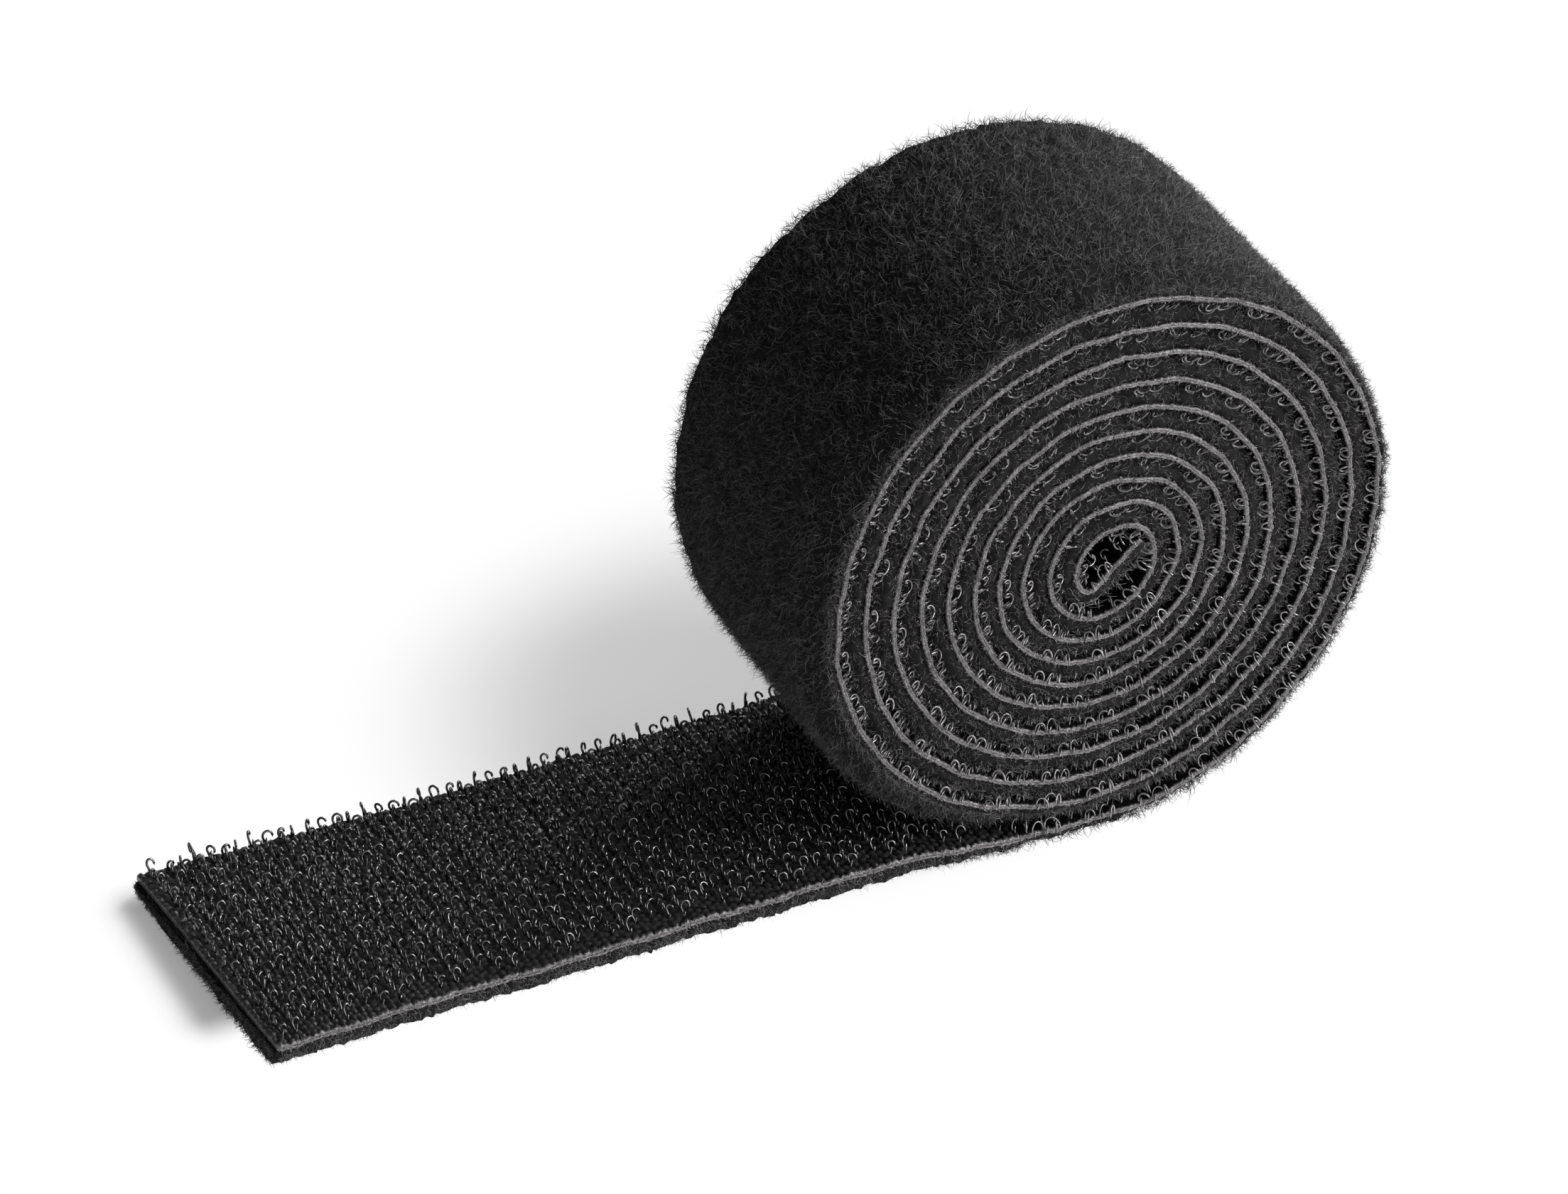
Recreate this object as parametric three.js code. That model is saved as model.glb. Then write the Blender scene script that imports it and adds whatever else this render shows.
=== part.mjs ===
// A coreless roll of back-to-back hook and loop tape, standing on a table with its free end laid out flat.
// Millimetres, +Z up. The roll's axis runs along Y, the free end points to -X and the table is z = 0.
// The tape is two woven grounds bonded back to back: hooks stand on the inner one, pile on the outer.
import * as THREE from "three";

// The tape, across its width and through its thickness
const TAPE_WIDTH = 32;
const HOOK_GROUND = 0.3;
const LOOP_GROUND = 0.3;
const PILE = 1.25;

// The winding: the bond between the two grounds runs at these radii about the roll's axis
const OUTER_RADIUS = 31;
const PITCH = 2.81;
const TURNS = 9.82;
const SLACK = 0.36; // the middle turns lie up to twice this inside an even spiral
const SLACK_TURNS = 9.2; // turns over which the slack comes and goes
const OVAL = 0.07; // the innermost turn is pressed oval by this share of its radius
const OVAL_FADE = 3; // growth of the radius over which the pressing dies away
const OVAL_TILT = 43; // degrees from +X to the long way of the oval
const CORE_SHIFT = [0.6, -0.4]; // of the innermost turn's centre from the roll's axis
const CORE_FADE = 5; // growth of the radius over which the shift dies away
const SETTLE = 3; // the tape lies flat from this far past the axis
const SETTLE_FADE = 50; // degrees of turn over which the flat eases into the spiral
const FOLD_RADIUS = 1.15; // the fold at the inner end
const STUB = 6.2; // the straight inner end after the fold
const CHORD_ERROR = 0.27; // how far a straight step may leave the true curve

// The free end: flat stretches that flex about hinge lines in the bond
const FREE_LENGTH = 89.5; // from below the axis to the cut end
const FIRST_HINGE = 17.5;
const STRETCHES = 4;
const HINGE_GAP = 0.4; // between the grounds of two stretches
const FLEX_DOWN = 45; // degrees that the pile's notches leave room for

// The hooks
const HOOK_SLICE = 0.1; // of the ground that each field of hooks is fused to
const HOOK_HEIGHT = 1.5;
const HOOK_REACH = 0.7;
const HOOK_DROP = 0.3;
const FILAMENT = 0.24;
const HOOK_ROWS = 7;
const HOOKS_PER_ROW = 11;
const SELVEDGE = 1.2; // bare edge of the ground
const HOOK_MARGIN = 1.6; // from a hinge line to the nearest row

const BOND_HEIGHT = PILE + LOOP_GROUND;
const AXIS_HEIGHT = BOND_HEIGHT + OUTER_RADIUS;
const STRETCH = (FREE_LENGTH - FIRST_HINGE) / STRETCHES;
const FULL_TURN = 2 * Math.PI;
const rad = THREE.MathUtils.degToRad;
const NOTCH = Math.tan(rad(FLEX_DOWN / 2)); // how far the pile's ends lean back at a hinge, for each mm down

const colours = { pile: "#1d1d1f", loop_ground: "#2a2a2c", hook_ground: "#232325", hooks: "#0f0f11" };
const roughness = { pile: 0.95, loop_ground: 0.85, hook_ground: 0.8, hooks: 0.35 };

function named(name, layer, geometry) {
  const material = new THREE.MeshStandardMaterial({
    color: colours[layer],
    roughness: roughness[layer],
    metalness: 0,
  });
  const mesh = new THREE.Mesh(geometry, material);
  mesh.name = name;
  return mesh;
}

// A closed outline in X and Z, carried across the tape's width.
function acrossTape(outline) {
  const shape = new THREE.Shape(outline);
  const geometry = new THREE.ExtrudeGeometry(shape, { depth: TAPE_WIDTH, bevelEnabled: false });
  return geometry.rotateX(Math.PI / 2).translate(0, TAPE_WIDTH / 2, 0);
}

// The bond's place at an angle round from straight below the axis, growing towards the roll's inner end.
const settleStart = Math.atan(SETTLE / OUTER_RADIUS);

function spiralRadius(angle) {
  const turns = angle / FULL_TURN;
  const drawnIn = SLACK * (1 - Math.cos((FULL_TURN * turns) / SLACK_TURNS));
  return OUTER_RADIUS - PITCH * turns - drawnIn;
}

// What the radius has over the spiral near the table, where the tape leaves the flat.
function settleLift(angle) {
  const span = rad(SETTLE_FADE);
  const t = Math.min((angle - settleStart) / span, 1);
  const flatRadius = OUTER_RADIUS / Math.cos(settleStart);
  const lift = flatRadius - spiralRadius(settleStart);
  const slope = flatRadius * Math.tan(settleStart) + PITCH / FULL_TURN;
  const fade = (1 - t) * (1 - t);
  return lift * fade * (1 + 2 * t) + slope * span * t * fade;
}

function bondAt(angle) {
  const nominal = spiralRadius(angle);
  const radius = nominal + settleLift(angle);
  const depth = PITCH * (TURNS - angle / FULL_TURN);
  const press = OVAL * Math.exp(-depth / OVAL_FADE);
  const shift = new THREE.Vector2(...CORE_SHIFT).multiplyScalar(Math.exp(-depth / CORE_FADE));
  const tilt = rad(OVAL_TILT);
  const centre = new THREE.Vector2();
  const place = new THREE.Vector2(radius * Math.sin(angle), -radius * Math.cos(angle));
  place.rotateAround(centre, -tilt);
  place.x *= 1 + press;
  place.y *= 1 - press;
  place.rotateAround(centre, tilt);
  place.y += AXIS_HEIGHT;
  return place.add(shift);
}

// The bond as one line, from the first hinge along the table, round the winding and into the folded end.
function bondLine() {
  const line = [new THREE.Vector2(-FIRST_HINGE + HINGE_GAP / 2, BOND_HEIGHT)];
  const end = FULL_TURN * TURNS;
  let angle = settleStart;
  while (angle < end) {
    line.push(bondAt(angle));
    angle += 2 * Math.acos(1 - CHORD_ERROR / spiralRadius(angle));
  }
  const last = bondAt(end);
  const heading = last.clone().sub(bondAt(end - 0.01)).angle();
  const turned = rad(OVAL_TILT) + FULL_TURN - heading;
  const foldCentre = new THREE.Vector2(-Math.sin(heading), Math.cos(heading));
  foldCentre.multiplyScalar(FOLD_RADIUS).add(last);
  const steps = Math.ceil(turned / (2 * Math.acos(1 - (0.4 * CHORD_ERROR) / FOLD_RADIUS)));
  for (let i = 0; i <= steps; i++) {
    line.push(last.clone().rotateAround(foldCentre, (turned * i) / steps));
  }
  const tip = line.at(-1).clone();
  line.push(tip.add(new THREE.Vector2(STUB, 0).rotateAround(new THREE.Vector2(), rad(OVAL_TILT))));
  return line;
}

// The line moved sideways, positive towards the pile, with its steps kept parallel.
function offset(line, distance) {
  const normals = line.slice(1).map((point, i) => {
    const way = point.clone().sub(line[i]).normalize();
    return new THREE.Vector2(way.y, -way.x);
  });
  return line.map((point, i) => {
    const before = normals[Math.max(i - 1, 0)];
    const after = normals[Math.min(i, normals.length - 1)];
    const mitre = before.clone().add(after).divideScalar(1 + before.dot(after));
    return point.clone().addScaledVector(mitre, distance);
  });
}

// A layer of the winding. Its end at the first hinge leans back below the bond, to clear the free end.
function strip(line, from, to) {
  const side = (distance) => {
    const moved = offset(line, distance);
    moved[0].x += NOTCH * Math.max(distance, 0);
    return moved;
  };
  return acrossTape([...side(from), ...side(to).reverse()]);
}

// Points along a line, close enough together to measure gaps on, each with its distance along the line.
function measured(line) {
  const points = [];
  let along = 0;
  line.slice(1).forEach((point, i) => {
    const length = point.distanceTo(line[i]);
    const pieces = Math.ceil(length / 0.5);
    for (let k = 0; k < pieces; k++) {
      points.push({ at: line[i].clone().lerp(point, k / pieces), along: along + (length * k) / pieces });
    }
    along += length;
  });
  return points;
}

// The least gap between the tape's faces where one turn lies on the next, or a face bends back on itself.
function leastGap(line) {
  const faces = [offset(line, -HOOK_GROUND), offset(line, LOOP_GROUND + PILE)].map(measured);
  let least = Infinity;
  for (const first of faces) {
    for (const second of faces) {
      for (const a of first) {
        for (const b of second) {
          const apart = Math.abs(a.along - b.along);
          if (apart > 3 * FOLD_RADIUS + PILE) {
            least = Math.min(least, a.at.distanceTo(b.at));
          }
        }
      }
    }
  }
  return least;
}

// One cut filament standing on the ground: three corners of its foot, three of its shoulder, and its tip.
function hookCorners(x, y, ground, way) {
  const radius = FILAMENT / Math.sqrt(3);
  const ring = (along, height, lean) =>
    [0, 1, 2].map((k) => {
      const turn = (-FULL_TURN * k) / 3;
      const out = radius * Math.cos(turn);
      const across = radius * Math.sin(turn);
      return new THREE.Vector3(
        x + way * (along + out * Math.cos(lean)),
        y + way * across,
        ground + height - out * Math.sin(lean),
      );
    });
  const shoulderHeight = HOOK_HEIGHT - FILAMENT / 2;
  const tip = new THREE.Vector3(x + way * HOOK_REACH, y, ground + shoulderHeight - HOOK_DROP);
  return {
    foot: ring(0, 0, 0),
    shoulder: ring(HOOK_REACH / 7, shoulderHeight, rad(55)),
    tip,
  };
}

// The hooks of one stretch, in rows that are staggered across the tape and face either way by turns.
function hooksOf(ground) {
  const rowStep = (STRETCH - 2 * HOOK_MARGIN) / (HOOK_ROWS - 1);
  const across = TAPE_WIDTH - 2 * SELVEDGE - FILAMENT;
  const hookStep = across / (HOOKS_PER_ROW - 0.5);
  const hooks = [];
  for (let row = 0; row < HOOK_ROWS; row++) {
    for (let i = 0; i < HOOKS_PER_ROW; i++) {
      const x = -HOOK_MARGIN - row * rowStep;
      const y = -across / 2 + (i + (row % 2) / 2) * hookStep;
      hooks.push(hookCorners(x, y, ground, i % 2 ? 1 : -1));
    }
  }
  return hooks;
}

// A field of hooks and the slice of ground that they rise from, as one closed surface.
function hookField(from, to, ground) {
  const half = TAPE_WIDTH / 2;
  const rim = [
    new THREE.Vector2(to, -half),
    new THREE.Vector2(from, -half),
    new THREE.Vector2(from, half),
    new THREE.Vector2(to, half),
  ];
  const hooks = hooksOf(ground);
  const feet = hooks.map(({ foot }) => foot.map((corner) => new THREE.Vector2(corner.x, corner.y)));
  const faces = THREE.ShapeUtils.triangulateShape(rim, feet);
  const points = rim.map((corner) => new THREE.Vector3(corner.x, corner.y, ground));
  hooks.forEach(({ foot }) => points.push(...foot));
  const under = points.length;
  rim.forEach((corner) => points.push(new THREE.Vector3(corner.x, corner.y, ground - HOOK_SLICE)));
  faces.push([under, under + 3, under + 2], [under, under + 2, under + 1]);
  for (let k = 0; k < 4; k++) {
    const next = (k + 1) % 4;
    faces.push([k, under + k, under + next], [k, under + next, next]);
  }
  hooks.forEach(({ shoulder, tip }, i) => {
    const foot = rim.length + 3 * i;
    const top = points.length;
    points.push(...shoulder, tip);
    for (let k = 0; k < 3; k++) {
      const next = (k + 1) % 3;
      faces.push([foot + k, top + next, foot + next], [foot + k, top + k, top + next]);
      faces.push([top + k, top + 3, top + next]);
    }
  });
  const geometry = new THREE.BufferGeometry().setFromPoints(points);
  geometry.setIndex(faces.flat());
  geometry.computeVertexNormals();
  return geometry;
}

// One flexing stretch of the free end, its hinge line at the local origin. The pile's ends are notched so
// that they clear each other when the tape bends down.
function stretchOf(number, isLast) {
  const group = new THREE.Group();
  const from = -HINGE_GAP / 2;
  const to = isLast ? -STRETCH : -STRETCH + HINGE_GAP / 2;
  const slab = (low, high, lowFrom, lowTo, highFrom, highTo) =>
    acrossTape([
      new THREE.Vector2(lowFrom, low),
      new THREE.Vector2(highFrom, high),
      new THREE.Vector2(highTo, high),
      new THREE.Vector2(lowTo, low),
    ]);
  const plain = (low, high) => slab(low, high, from, to, from, to);
  const top = from - NOTCH * LOOP_GROUND;
  const foot = from - NOTCH * BOND_HEIGHT;
  const farTop = isLast ? to : -STRETCH - top;
  const farFoot = isLast ? to : -STRETCH - foot;
  const pile = slab(-BOND_HEIGHT, -LOOP_GROUND, foot, farFoot, top, farTop);
  const name = (layer) => `tail_${number}_${layer}`;
  group.add(named(name("pile"), "pile", pile));
  group.add(named(name("loop_ground"), "loop_ground", plain(-LOOP_GROUND, 0)));
  group.add(named(name("hook_ground"), "hook_ground", plain(0, HOOK_GROUND - HOOK_SLICE)));
  group.add(named(name("hooks"), "hooks", hookField(from, to, HOOK_GROUND)));
  return group;
}

const roll = new THREE.Group();
roll.name = "hook_and_loop_tape_roll";

const bond = bondLine();
roll.add(named("winding_hook_ground", "hook_ground", strip(bond, -HOOK_GROUND, 0)));
roll.add(named("winding_loop_ground", "loop_ground", strip(bond, 0, LOOP_GROUND)));
roll.add(named("winding_pile", "pile", strip(bond, LOOP_GROUND, BOND_HEIGHT)));

// Each stretch hangs from the end of the one before it.
let held = roll;
let hinge = new THREE.Vector3(-FIRST_HINGE, 0, BOND_HEIGHT);
for (let number = 1; number <= STRETCHES; number++) {
  const stretch = stretchOf(number, number === STRETCHES);
  stretch.position.copy(hinge);
  held.add(stretch);
  held = stretch;
  hinge = new THREE.Vector3(-STRETCH, 0, 0);
}

console.log(`least gap of the winding to itself: ${leastGap(bond).toFixed(2)} mm`);

export default roll;
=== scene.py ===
"""Hook and loop tape roll: the dressed part on its frame, on a white table under soft light."""

import math

import bpy
import numpy as np
from mathutils import Matrix, Vector


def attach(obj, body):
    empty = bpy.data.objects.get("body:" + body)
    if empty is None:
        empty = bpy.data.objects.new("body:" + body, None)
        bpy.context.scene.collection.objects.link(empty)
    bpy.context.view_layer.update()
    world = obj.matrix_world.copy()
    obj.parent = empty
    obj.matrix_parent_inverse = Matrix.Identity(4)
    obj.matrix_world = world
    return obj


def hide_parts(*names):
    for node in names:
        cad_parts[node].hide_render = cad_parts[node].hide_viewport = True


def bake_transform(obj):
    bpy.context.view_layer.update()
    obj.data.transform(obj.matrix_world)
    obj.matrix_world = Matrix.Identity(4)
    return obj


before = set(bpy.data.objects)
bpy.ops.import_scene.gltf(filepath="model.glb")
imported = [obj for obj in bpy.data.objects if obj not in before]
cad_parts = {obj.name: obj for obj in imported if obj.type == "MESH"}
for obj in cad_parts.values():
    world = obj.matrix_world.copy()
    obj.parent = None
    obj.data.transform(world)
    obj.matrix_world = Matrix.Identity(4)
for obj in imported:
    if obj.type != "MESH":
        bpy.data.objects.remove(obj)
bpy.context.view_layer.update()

# Sizes in millimetres, the same as the part's source
TAPE_WIDTH = 32.0
GROUND = 0.3
PILE = 1.25
OUTER_RADIUS = 31.0
PITCH = 2.81
TURNS = 9.82
SLACK = 0.36
SLACK_TURNS = 9.2
OVAL = 0.07
OVAL_FADE = 3.0
OVAL_TILT = math.radians(43)
CORE_SHIFT = np.array([0.6, -0.4])
CORE_FADE = 5.0
SETTLE = 3.0
SETTLE_FADE = math.radians(50)
FOLD_RADIUS = 1.15
STUB = 6.2
FREE_LENGTH = 89.5
FIRST_HINGE = 17.5
STRETCHES = 4
STRETCH = (FREE_LENGTH - FIRST_HINGE) / STRETCHES
BOND_HEIGHT = PILE + GROUND
AXIS_HEIGHT = BOND_HEIGHT + OUTER_RADIUS
HALF = TAPE_WIDTH / 2
TURN = 2 * math.pi

# How the path is drawn
PATH_STEP = 0.1
SPIRAL_POINTS, FOLD_POINTS = 12000, 200
SMOOTHING = 9  # path points over which the direction is averaged
OUTER_TURN_SHRINK = 0.6  # what the first turn's mean radius lacks

# How the tape lies: the free end is a little twisted, its near edge up on full nap, its far edge down
NEAR_LIFT = 1.85
FAR_LIFT = (-0.45, -0.65)  # at the roll, and at the cut end
LIFT_FROM, LIFT_OVER = 5.0, 20.0  # mm out from below the axis where the lift starts, and that it takes
CORNER_LIFT, CORNER_REACH = 0.9, 25.0  # of the far corner of the cut end, and how far back it goes
TABLE_SKIN = 0.25  # fibres within this height of the table are pressed flat against it
WAVE, WAVE_LENGTHS = 0.08, (23.0, 13.0, 7.7, 5.1)  # unevenness of the tape, out from its face
EDGE_DRIFT, DRIFT_LENGTHS = 0.12, (61.0, 27.0, 11.0, 6.3)  # and across it
CUT_SKEW, CUT_FADE = 0.0625, 12.0  # how far the cut end is off square for each mm across, and how far back
SKEW_LIMIT = 1.2  # for fibres that reach past the cut end

# Woven grounds
CLOTH_STEP = 0.25  # mm between rings of points along plain cloth
WINDING_COLUMNS, TAIL_COLUMNS = 11, 31  # points across it
NUB_STEP, NUB_COLUMNS, NUB_HEIGHT = 0.16, 161, 0.28  # the same for the free end's hook cloth, with nubs
KERNEL = (0.72, 0.85)  # mm of each nub of the hook cloth, along and across
KERNEL_TABLE = (61, 67)  # nubs after which their offsets repeat
KERNEL_JITTER, KERNEL_STAGGER = 0.2, 0.25  # shares of a nub: out of its place, and shifted row by row
KERNEL_FALL, KERNEL_ROUND = 0.3, 0.6  # how wide a nub is, and how round its top
CLOTH_CROWDING, PILE_CROWDING = 2.6, 1.8  # how strongly columns gather towards the edges
EDGE_ROUND, EDGE_THICK = 0.25, 0.66  # mm over which cloth thins to its edge, and the share left there
BEAD, BEAD_LENGTH, FRAY = 0.03, 0.82, 0.05  # how the edge goes in and out
UNEVEN, BOND_UNEVEN = 0.1, 0.018  # share of each cloth's thickness, and mm of the face that the two share
GREY_FROM, GREY_OVER = 0.22, 0.18  # mm in from the edge where its grey starts, and over which it grows
CUT_GREY, CUT_GREY_OVER = 0.5, 0.3  # how grey the cut end is, and over how many mm

# Hooks, in rows across the tape, in four kinds that take turns along it and across it
ROW_STEP = 1.5
HOOK_STEP = 1.36
ROW_SHIFTS = (0.1, 0.0, 0.3, 0.15)
FACINGS = (256.0, 166.0, 196.0, 62.0)  # degrees from along the tape to across it
HEIGHTS = (1.14, 1.02, 1.08, 1.0)
COMBED = 0.5  # how far all hooks lean across the tape, for each mm of height
DEEPER = (0.9, 0.0, 0.0, 0.9)  # further from the near edge, for the kinds that stand across the tape
SELVEDGE = 1.0  # bare cloth along the edge that the hooks lean away from
FAR_SELVEDGE = 0.3
CUT_BARE, INNER_BARE = 0.5, 0.6  # bare cloth at the cut end, and at the folded one
HEAD_STEPS, LEG_STEPS = 9, 4
ROOT_JITTER, FACING_JITTER = (0.1, 0.11), 0.28  # mm along and across, and radians
SIZE_SPREAD, HEAD_SPREAD, SWEEP_SPREAD = (0.88, 1.1), (0.78, 1.15), (0.85, 1.15)  # times the usual
STEM_POINTS = (-0.14, 0.5)  # shares of the stem where its points are, the first one in the cloth
STEM_LEAN, SIDE_LEAN = 0.16, 0.12  # in the hook's own plane, and at random out of it
STEM_AHEAD, LEG_AHEAD, LEG_ASIDE = 0.1, 0.05, 0.22  # mm from the root
LEG_LENGTHS, LEG_LEAN, LEG_ROOT = (0.5, 0.95), 0.45, 0.05  # mm high, back for each mm, deep in the cloth
# Length of the stem, radius of the head, degrees that it goes round, radius of the filament and its sides
STEMMED = (0.7, 0.43, 215.0, 0.135, 5)  # on the free end
ROUND = (0.3, 0.6, 190.0, 0.1, 4)  # at the edges of the turns, pulled open by the pile
EDGE_HOOK_DEPTH, EDGE_HOOK_MARGIN = 2.6, 0.12  # how far in the winding has hooks, and what it leaves bare
FRONT_SHIFT = 0.5  # how much nearer its front hooks stand

# Nap: fibres for each square millimetre, or for each millimetre of edge
NAP_OUTSIDE, NAP_BELOW = 21.0, 8.0
NAP_EDGE = {"front": 56.0, "back": 26.0}
TAIL_EDGE_SHARE = 1.6  # times as many along the free end
FUZZ_EDGE = {"front": 26.0, "back": 10.0}
NAP_CUT_END = 200.0
OUTSIDE_REACH, BELOW_REACH = 1.05, 0.52  # mm of a fibre
FIBRE_RADIUS, EDGE_FIBRE_RADIUS, FUZZ_RADIUS = 0.033, 0.024, 0.036
OUTER_EDGE = {"tall": 1.0, "tone_power": 2.0}  # pile at the edge of the outer turn, low and dark
INNER_EDGE = {"tall": 2.45}  # between the turns
TAIL_EDGE = {"tall": 1.75}
NAP_PARTS, EDGE_PARTS = 12, 4  # pieces that the winding's nap is divided into
LOCK, LOCK_TABLE = 0.9, (97, 89)  # mm of a lock, whose fibres lean together, and locks until that repeats
LOCK_JITTER, LOCK_TURN, LOCK_LENGTH = 0.22, 0.9, 0.14  # how locks differ in place, facing and length
GATHER = 0.34  # how far the tips of a lock draw together
SWIRL_LENGTHS, CROSS_SWIRL_LENGTHS = (31.0, 17.0, 9.0), (13.0, 7.0)  # over how many mm their facing wanders
NAP_LEAN, NAP_RISE, NAP_STRAY = 0.6, 1.2, (0.6, 0.6, 0.35)  # how fibres lie over, rise and stray
REACH_SPREAD, ROOT_HEIGHTS = (0.7, 1.3), (0.75, 1.1)  # times the usual reach, and mm from the bond
SPLAY, SPLAY_OVER = 0.9, 1.5  # how far fibres lean out over the edges, and within how many mm
NEAR_EDGE, EDGE_SHORTER, EDGE_LOWER = 2.2, 0.12, 0.2  # mm from an edge, where fibres are shorter and lower
EDGE_SHARES = (1.0, 0.2)  # how much of that the front and the back edge have
SHORTER = 0.4  # what fibres lack on the right of the roll
SHORT_FROM, SHORT_TO = (100.0, 10.0), (180.0, 25.0)  # where along that starts and ends, and over how far
FIBRE_STEPS, STUB_STEPS = (0.0, 0.36, 0.7, 1.0), (0.0, 0.6, 1.0)  # shares of a fibre where its points are
FIBRE_SIDES, TAPER = 3, 0.75
FULL_NAP, FULL_NAP_EDGE = 0.75, 1.1  # share of the free end's lift that pile fills, and mm to its edges
FULLER = ((1.1, 145.0, 50.0), (1.35, 226.0, 30.0))  # more pile on the roll, from where along, over how far
FULLER_EDGE = 4.0  # mm from the near edge over which that grows
TUCK = 8.0  # mm over which the outer turn goes in under its own end
LOOSE = 0.38  # what the matting lacks of the pile's depth
SHOULDER, NEAR_SHOULDER = 0.5, 1.6  # mm over which matting rises from its edges
BETWEEN_TURNS = 1.3  # what the pile has over its pressed height where hooks hold it open
MATTING_COLUMNS, MATTING_INSET = 31, 0.3
MATTING_UNEVEN, MATTING_RAGGED = 0.1, 0.008  # mm of its top, and share of its width
END_RAGGED = (0.1, 0.5)  # mm that it stands out of the cut end at least, and beyond that at random
WINDING_MATTING_STEP, TAIL_MATTING_STEP = 0.7, 0.4
THINNER = 1.0

# The table and the light
PAINTED_WHITE_IN_SHADOW = 0.22  # how far the table glows plain white with painted light in the object's shadow. Beyond the zones, the painted white wholly hides the shadow
SHADOW_ZONE = ((-15.0, 20.0), (46.0, 36.0))  # centre and reach of the roll's shadow on the table, where the painted white does not wholly hide it
SHADOW_FADE = (0.48, 1.1)  # shares of that reach
TAPE_ZONE = ((-29.0, 4.5), (61.5, 9.0))  # centre and half size of the tape's own shadow, kept from the painted white in the same way
TAPE_SHADOW = 5.0
TABLE_REACH = 3.0  # metres
SKY = 0.19
LAMP_AIM = (-0.01, 0, 0.02)
LAMPS = (  # where it stands in metres, its size and its watts
    ("key", (1.65, -1.0, 1.05), (1.0, 1.4), 49.0),
    ("glint", (1.3, -1.2, 1.0), (0.25, 0.25), 10.0),
    ("rim", (1.35, 0.7, 0.9), (0.8, 0.6), 20.5),
    ("front", (0.4, -1.7, 0.4), (1.8, 0.6), 17.0),
)

# Seeds of the random draws
FACE_SEED, EDGE_SEED, SWIRL_SEED, CROSS_SWIRL_SEED, LOCK_SEED, KERNEL_SEED = 3, 4, 5, 6, 11, 21
WINDING_SEEDS = {"hooks": 40, "nap": 70, "edge_nap": 500, "fuzz": 600}
TAIL_SEEDS = {"hooks": 80, "nap": 90, "edge_nap": 100, "fuzz": 120, "cut_end": 140}


def spiral_radius(angle):
    """The bond's radius, before it settles on the table and before the inner turns are pressed oval."""
    turns = angle / TURN
    return OUTER_RADIUS - PITCH * turns - SLACK * (1 - np.cos(TURN * turns / SLACK_TURNS))


def settle_lift(angle):
    """What the radius has over the spiral near the table, where the tape leaves the flat."""
    start = math.atan(SETTLE / OUTER_RADIUS)
    t = np.minimum((angle - start) / SETTLE_FADE, 1)
    flat_radius = OUTER_RADIUS / math.cos(start)
    lift = flat_radius - spiral_radius(start)
    slope = flat_radius * math.tan(start) + PITCH / TURN
    fade = (1 - t) ** 2
    return lift * fade * (1 + 2 * t) + slope * SETTLE_FADE * t * fade


def bond_at(angle):
    """Places (x, z) of the bond at angles round from straight below the axis."""
    radius = spiral_radius(angle) + settle_lift(angle)
    depth = PITCH * (TURNS - angle / TURN)
    press = OVAL * np.exp(-depth / OVAL_FADE)
    x, z = radius * np.sin(angle), -radius * np.cos(angle)
    c, s = math.cos(OVAL_TILT), math.sin(OVAL_TILT)
    u, v = (x * c + z * s) * (1 + press), (z * c - x * s) * (1 - press)
    place_at = np.stack([u * c - v * s, u * s + v * c + AXIS_HEIGHT], axis=-1)
    return place_at + CORE_SHIFT * np.exp(-depth / CORE_FADE)[:, None]


def bond_path():
    """The bond from the cut end to the folded inner end: places, and normals towards the pile."""
    spiral = bond_at(np.linspace(math.atan(SETTLE / OUTER_RADIUS), TURN * TURNS, SPIRAL_POINTS))
    last = spiral[-1]
    way = last - spiral[-2]
    heading = math.atan2(way[1], way[0])
    turned = (OVAL_TILT - heading) % TURN
    centre = last + FOLD_RADIUS * np.array([-math.sin(heading), math.cos(heading)])
    a = heading - TURN / 4 + np.linspace(0, turned, FOLD_POINTS)[1:, None]
    fold = centre + FOLD_RADIUS * np.hstack([np.cos(a), np.sin(a)])
    stub = fold[-1] + STUB * np.array([math.cos(OVAL_TILT), math.sin(OVAL_TILT)])
    line = np.vstack([[-FREE_LENGTH, BOND_HEIGHT], spiral, fold, stub])
    along = np.r_[0, np.cumsum(np.linalg.norm(np.diff(line, axis=0), axis=1))]
    at = np.linspace(0, along[-1], int(along[-1] / PATH_STEP))
    line = np.stack([np.interp(at, along, line[:, k]) for k in (0, 1)], axis=1)
    way = np.gradient(line, axis=0)
    spread = np.hanning(SMOOTHING) / np.hanning(SMOOTHING).sum()
    padded = np.pad(way, ((SMOOTHING // 2, SMOOTHING // 2), (0, 0)), mode="edge")
    way = np.stack([np.convolve(padded[:, k], spread, "valid") for k in (0, 1)], axis=1)
    way /= np.linalg.norm(way, axis=1)[:, None]
    return at, line, np.stack([way[:, 1], -way[:, 0]], axis=1)


ALONG, LINE, NORMAL = bond_path()
LENGTH = ALONG[-1]
ON_TABLE = FREE_LENGTH + SETTLE
OUTER_TURN = ON_TABLE + TURN * (OUTER_RADIUS - OUTER_TURN_SHRINK)


def waves(s, sizes, seed):
    """A slow wander along the tape, about 1 at most."""
    phases = np.random.default_rng(seed).uniform(0, TURN, len(sizes))
    total = sum(np.sin(TURN * s / w + p) for w, p in zip(sizes, phases))
    return total / len(sizes) ** 0.5


def smoothstep(t):
    """0 to 1, with an easy start and end."""
    t = np.clip(t, 0, 1)
    return t * t * (3 - 2 * t)


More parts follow.
